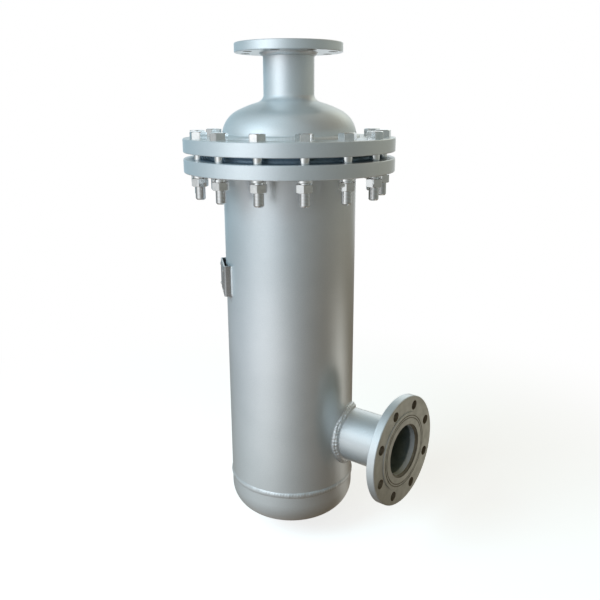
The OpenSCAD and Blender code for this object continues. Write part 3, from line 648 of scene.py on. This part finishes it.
def springWasher(i):
    # a square bar with eased edges, bent round the bolt: it climbs from the nut to the flange in one turn
    # and is open at its slit
    gapHalf = bolts["slit"] / 2 / bolts["washerR"]
    start = math.radians(bolts["slitTurn"] * i)
    u = np.linspace(0, 1, 60)[:, None]
    theta = start + gapHalf + u * (tau - 2 * gapHalf)
    inner, outer = bolts["shankR"] + bolts["washerPlay"], bolts["washerR"]
    bar, ease = bolts["bar"], bolts["ease"]
    top = bodyUnder - (1 - u) * (bolts["washer"] - bar)
    r = np.array([inner, inner + ease, outer - ease, outer, outer, outer - ease, inner + ease, inner])
    drop = np.array([ease, 0, 0, ease, bar - ease, bar, bar, bar - ease])
    return atBolt(closedEnds(turned(r[None, :], top - drop[None, :], theta)), i)


every = range(bolts["count"])
hexSharp = 20  # keeps the shallow chamfers crisp
heads = [(boltHead(i), False, True) for i in every]
shanks = [(boltShank(i), False, True) for i in every]
makePiece("coverBolts", heads + shanks, zinc, "bright_zinc", "cover_bolts", sharpDegrees=hexSharp)
makePiece("coverNuts", [(nut(i), True, True) for i in every],
          zinc, "bright_zinc", "cover_nuts", sharpDegrees=hexSharp)
makePiece("springWashers", [(springWasher(i), False, True) for i in every],
          zinc, "bright_zinc", "spring_washers")

# Rivets of the blank plate: low domes
rivets = dict(across=0.034, up=0.021, headR=0.0027, headH=0.0018, plate=0.0008)


def rivet(side, row):
    # half an ellipsoid on the plate's face, closed below
    lat = np.linspace(0, math.pi / 2, 8)[:, None]
    turn = np.linspace(0, tau, 24, endpoint=False)[None, :]
    faceX = shellR + bracket["standOff"] + rivets["plate"]
    x = faceX + rivets["headH"] * np.sin(lat) + 0 * turn
    y = side * rivets["across"] + rivets["headR"] * np.cos(lat) * np.cos(turn)
    z = (bracketLow + bracketHigh) / 2 + row * rivets["up"] + rivets["headR"] * np.cos(lat) * np.sin(turn)
    cap = np.stack([x, y, z], -1)
    under = np.repeat(cap[:1].mean(1, keepdims=True), cap.shape[1], 1)
    return spun(np.concatenate([under, cap], 0), bracket["angle"])


makePiece("nameplateRivets", [(rivet(side, row), False, True) for side in (-1, 1) for row in (-1, 1)],
          zinc, "bright_zinc", "nameplate_rivets")

# Camera at the photograph's place
view = dict(place=(0.9089, -1.1288, -0.1156), tilt=74.24, pan=38.04, roll=-0.26, lens=41.63, sensor=36)
cameraData = bpy.data.cameras.new("camera")
cameraData.lens = view["lens"]
cameraData.sensor_width = view["sensor"]
camera = bpy.data.objects.new("camera", cameraData)
scene.collection.objects.link(camera)
camera.rotation_mode = "XYZ"
camera.location = view["place"]
camera.rotation_euler = (math.radians(view["tilt"]), 0, math.radians(view["pan"]))
camera.rotation_euler.rotate_axis("Z", math.radians(view["roll"]))
scene.camera = camera
print("camera set")

white = (1, 1, 1, 1)


def lookedAt(tree):
    # 1 for rays of the camera, of reflections and through glass, 0 for the light that falls on the object
    rays = addNode(tree, "LightPath")
    direct, mirrored = rays.outputs["Is Camera Ray"], rays.outputs["Is Glossy Ray"]
    through = rays.outputs["Is Transmission Ray"]
    total = addNode(tree, "Math", [direct, mirrored], operation="ADD")
    return addNode(tree, "Math", [total, through], operation="ADD", use_clamp=True)


# World: white where it is looked at, a plain level for the rest
worldLook = dict(level=0.25, tint="#FFFBD0")
world = bpy.data.worlds.new("white room")
world.use_nodes = True
scene.world = world
sky = world.node_tree
sky.nodes.clear()
seen = lookedAt(sky)
strength = addNode(sky, "MapRange", {"Value": seen, "To Min": worldLook["level"], "To Max": 1.0})
tints = {6: linearColour(worldLook["tint"]), 7: white}
tint = addNode(sky, "Mix", {"Factor": seen, **tints}, data_type="RGBA").outputs[2]
back = addNode(sky, "Background", {"Color": tint, "Strength": strength})
addNode(sky, "OutputWorld", {"Surface": back})

# Floor: a pale round sheet that keeps the shadow and runs out to white
floorLook = dict(radius=6.0, colour="#BDBDBB", bounce="#4A4740", lift=0.74, roughness=0.9,
                 fadeFrom=0.6, fadeTo=1.5)


def makeFloor():
    # a flat disc: rings of points about Z at the lowest solid's height
    look = floorLook
    ring = np.linspace(0, tau, 96, endpoint=False)
    rows = stackRows([(r, floorZ) for r in (0.0, 0.5, look["radius"])], ring)
    material, tree = startMaterial("pale floor sheet")
    place = addNode(tree, "TexCoord").outputs["Object"]
    away = fromAxis(tree, place, vesselAxis)[1]
    fade = addNode(tree, "MapRange", {"Value": away, "From Min": look["fadeFrom"],
                                      "From Max": look["fadeTo"]}, interpolation_type="SMOOTHSTEP")
    seen = lookedAt(tree)
    # pale where it is looked at; it throws back little light, as dark ground does
    shades = {6: linearColour(look["bounce"]), 7: linearColour(look["colour"])}
    colour = addNode(tree, "Mix", {"Factor": seen, **shades}, data_type="RGBA").outputs[2]
    shader = addNode(tree, "BsdfPrincipled", {"Base Color": colour, "Roughness": look["roughness"],
                                              "Specular IOR Level": 0.0})
    glow = addNode(tree, "Math", [seen, look["lift"]], operation="MULTIPLY")
    lifted = addNode(tree, "Emission", {"Color": white, "Strength": glow})
    sheet = addNode(tree, "AddShader", [shader, lifted])
    plain = addNode(tree, "Emission", {"Color": white, "Strength": seen})
    mixed = addNode(tree, "MixShader", [fade, sheet, plain])
    addNode(tree, "OutputMaterial", [mixed])
    mesh = bpy.data.meshes.new("floor")
    mesh.from_pydata(rows.reshape(-1, 3).tolist(), [], surfaceFaces(rows.shape[:2], False, True).tolist())
    mesh.materials.append(material)
    floor = bpy.data.objects.new("floor", mesh)
    scene.collection.objects.link(floor)


makeFloor()

# Soft tent: graded cards round the object that only reflections see, brightest at the left front.
# Turn and rise are degrees round and above the object, wide and high the spread, tone the light added.
tentLook = dict(radius=4.0, centreZ=-0.5, overFloor=0.002, base=(0.151, 0.117, 0.081),
                lobes=[dict(turn=-99, rise=13, wide=21, high=18, tone=(1.0, 1.0, 1.0)),
                       dict(turn=-92, rise=-67, wide=26, high=11, tone=(0.74, 0.74, 0.74)),
                       dict(turn=-104, rise=57, wide=46, high=50, tone=(0.52, 0.65, 0.74)),
                       dict(turn=95, rise=31, wide=14, high=10, tone=(0.78, 0.84, 0.77)),
                       dict(turn=65, rise=30, wide=28, high=60, tone=(0.24, 0.25, 0.23)),
                       dict(turn=-130, rise=-65, wide=47, high=10, tone=(0.38, 0.38, 0.42)),
                       dict(turn=-115, rise=-83, wide=45, high=4, tone=(0.3, 0.32, 0.32)),
                       dict(turn=43, rise=-75, wide=12, high=9, tone=(0.77, 0.78, 0.74)),
                       dict(turn=122, rise=-4, wide=17, high=26, tone=(1.0, 1.0, 1.0)),
                       dict(turn=19, rise=11, wide=58, high=10, tone=(0.11, 0.2, 0.23)),
                       dict(turn=145, rise=-1, wide=29, high=33, tone=(0.07, 0.23, 0.33))])


def makeTent():
    # a sphere flattened just above the floor; its tone is a base plus bell curves of turn and rise
    look = tentLook
    lat = np.linspace(-math.pi / 2, math.pi / 2, 73)[:, None]
    lon = np.linspace(0, tau, 144, endpoint=False)[None, :]
    grid = turned(look["radius"] * np.cos(lat), look["centreZ"] + look["radius"] * np.sin(lat), lon)
    grid[..., 2] = np.maximum(grid[..., 2], floorZ + look["overFloor"])
    tone = np.ones(grid.shape[:2] + (4,))
    tone[..., :3] = look["base"]
    for lobe in look["lobes"]:
        aside = ((np.degrees(lon) - lobe["turn"] + 180) % 360 - 180) / lobe["wide"]
        above = (np.degrees(lat) - lobe["rise"]) / lobe["high"]
        bell = np.exp(-0.5 * aside ** 2 - 0.5 * above ** 2)
        tone[..., :3] += bell[..., None] * np.array(lobe["tone"])
    mesh = bpy.data.meshes.new("soft tent")
    mesh.from_pydata(grid.reshape(-1, 3).tolist(), [], surfaceFaces(grid.shape[:2], False, True).tolist())
    shade = mesh.color_attributes.new(name="tone", type="FLOAT_COLOR", domain="POINT")
    shade.data.foreach_set("color", tone.astype(np.float32).ravel())
    material, tree = startMaterial("grey card")
    read = addNode(tree, "Attribute", attribute_name="tone")
    glow = addNode(tree, "Emission", {"Color": read.outputs["Color"], "Strength": 1.0})
    addNode(tree, "OutputMaterial", [glow])
    material.cycles.emission_sampling = "NONE"
    mesh.materials.append(material)
    tent = bpy.data.objects.new("softTent", mesh)
    tent.visible_camera = False
    tent.visible_diffuse = False
    tent.visible_shadow = False
    scene.collection.objects.link(tent)


makeTent()

# Window lights from the left front, soft and cool; they light and shade but aren't mirrored
lampLooks = [dict(name="window light", turn=-112, rise=32, away=2.4, size=1.6, power=53, colour="#C0EBFF"),
             dict(name="front light", turn=-80, rise=14, away=2.4, size=1.6, power=20, colour="#D6E4FF")]
middle = np.array([0, 0, tentLook["centreZ"]])
for look in lampLooks:
    lampData = bpy.data.lights.new(look["name"], "AREA")
    lampData.shape = "DISK"
    lampData.size = look["size"]
    lampData.energy = look["power"]
    lampData.color = linearColour(look["colour"])[:3]
    lamp = bpy.data.objects.new(look["name"], lampData)
    scene.collection.objects.link(lamp)
    turn, rise = math.radians(look["turn"]), math.radians(look["rise"])
    toward = np.array([math.cos(turn) * math.cos(rise), math.sin(turn) * math.cos(rise), math.sin(rise)])
    lamp.location = middle + toward * look["away"]
    lamp.rotation_euler = (math.pi / 2 - rise, 0, turn + math.pi / 2)
    lamp.visible_glossy = False
    lamp.visible_camera = False
print("stage and light set")
